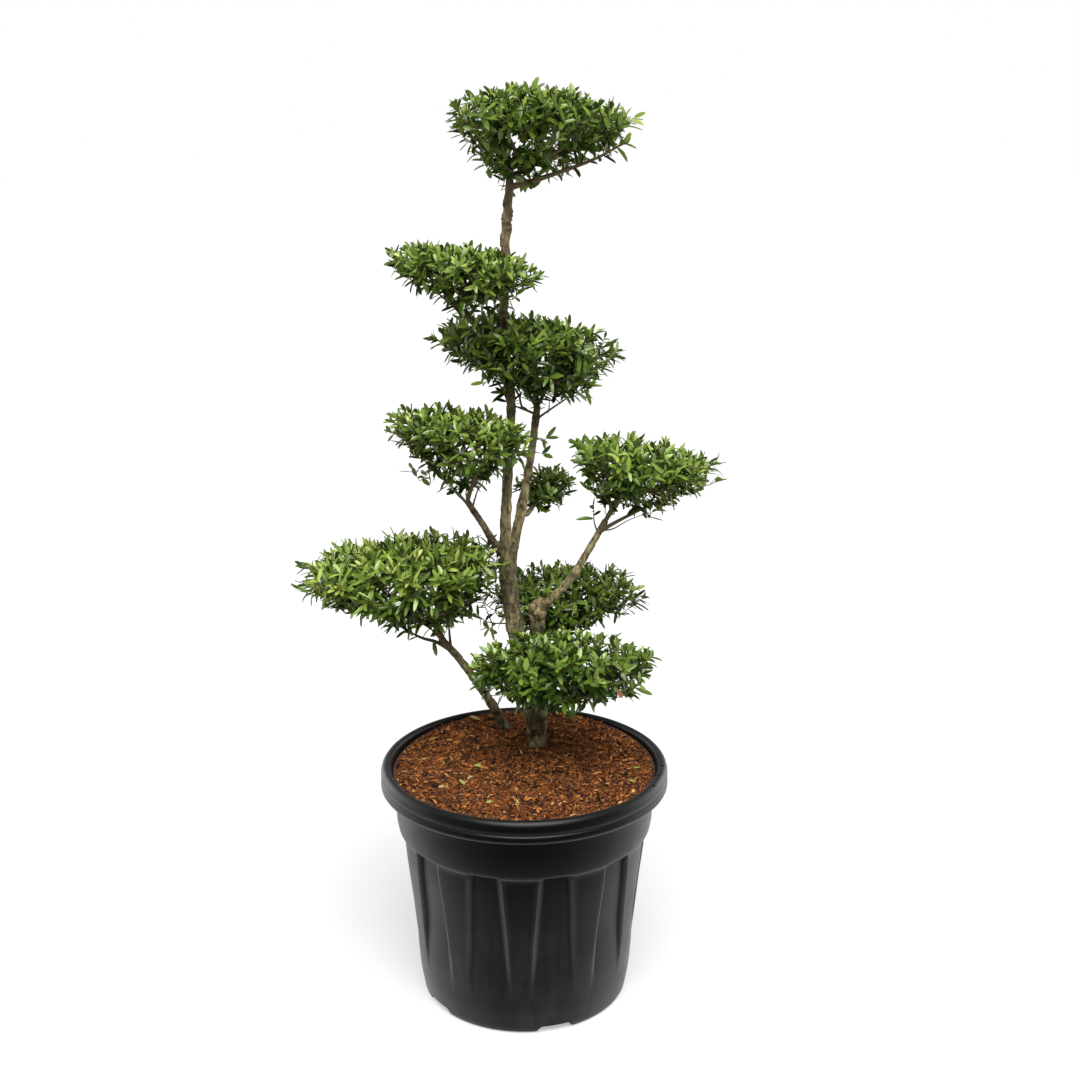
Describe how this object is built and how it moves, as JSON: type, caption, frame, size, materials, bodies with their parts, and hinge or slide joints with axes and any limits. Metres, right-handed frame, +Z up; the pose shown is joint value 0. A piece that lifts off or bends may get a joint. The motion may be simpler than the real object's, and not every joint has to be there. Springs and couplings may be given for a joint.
{
  "type": "potted japanese holly",
  "caption": "Cloud-pruned Japanese holly with bare stems and clipped pads of small leaves, growing in a black fluted round nursery pot.",
  "frame": {"origin": "centre of the pot's flat underside, on the pot's axis", "axes": "+Z up along the pot's axis, +X to the right and +Y to the back as the plant is seen from the front"},
  "size_m": [0.7258, 0.5475, 1.5625],
  "materials": {
    "pot": "satin black",
    "soil": "coarse bark and coir",
    "bark": "grey-brown bark",
    "foliage": "glossy green leaves"
  },
  "bodies": {
    "root": {"pot": "pot", "soil": "soil", "trunk": "bark", "second_stem": "bark", "right_stem": "bark", "bough_right": "bark", "bough_mid_left": "bark", "bough_mid_rear": "bark", "bough_upper_left": "bark", "bough_lower_left": "bark", "bough_lower_rear": "bark", "bough_lower_front": "bark", "foliage_top": "foliage", "foliage_upper_left": "foliage", "foliage_upper_centre": "foliage", "foliage_mid_left": "foliage", "foliage_mid_rear": "foliage", "foliage_right": "foliage", "foliage_lower_left": "foliage", "foliage_lower_rear": "foliage", "foliage_lower_front": "foliage"}
  },
  "joints": []
}
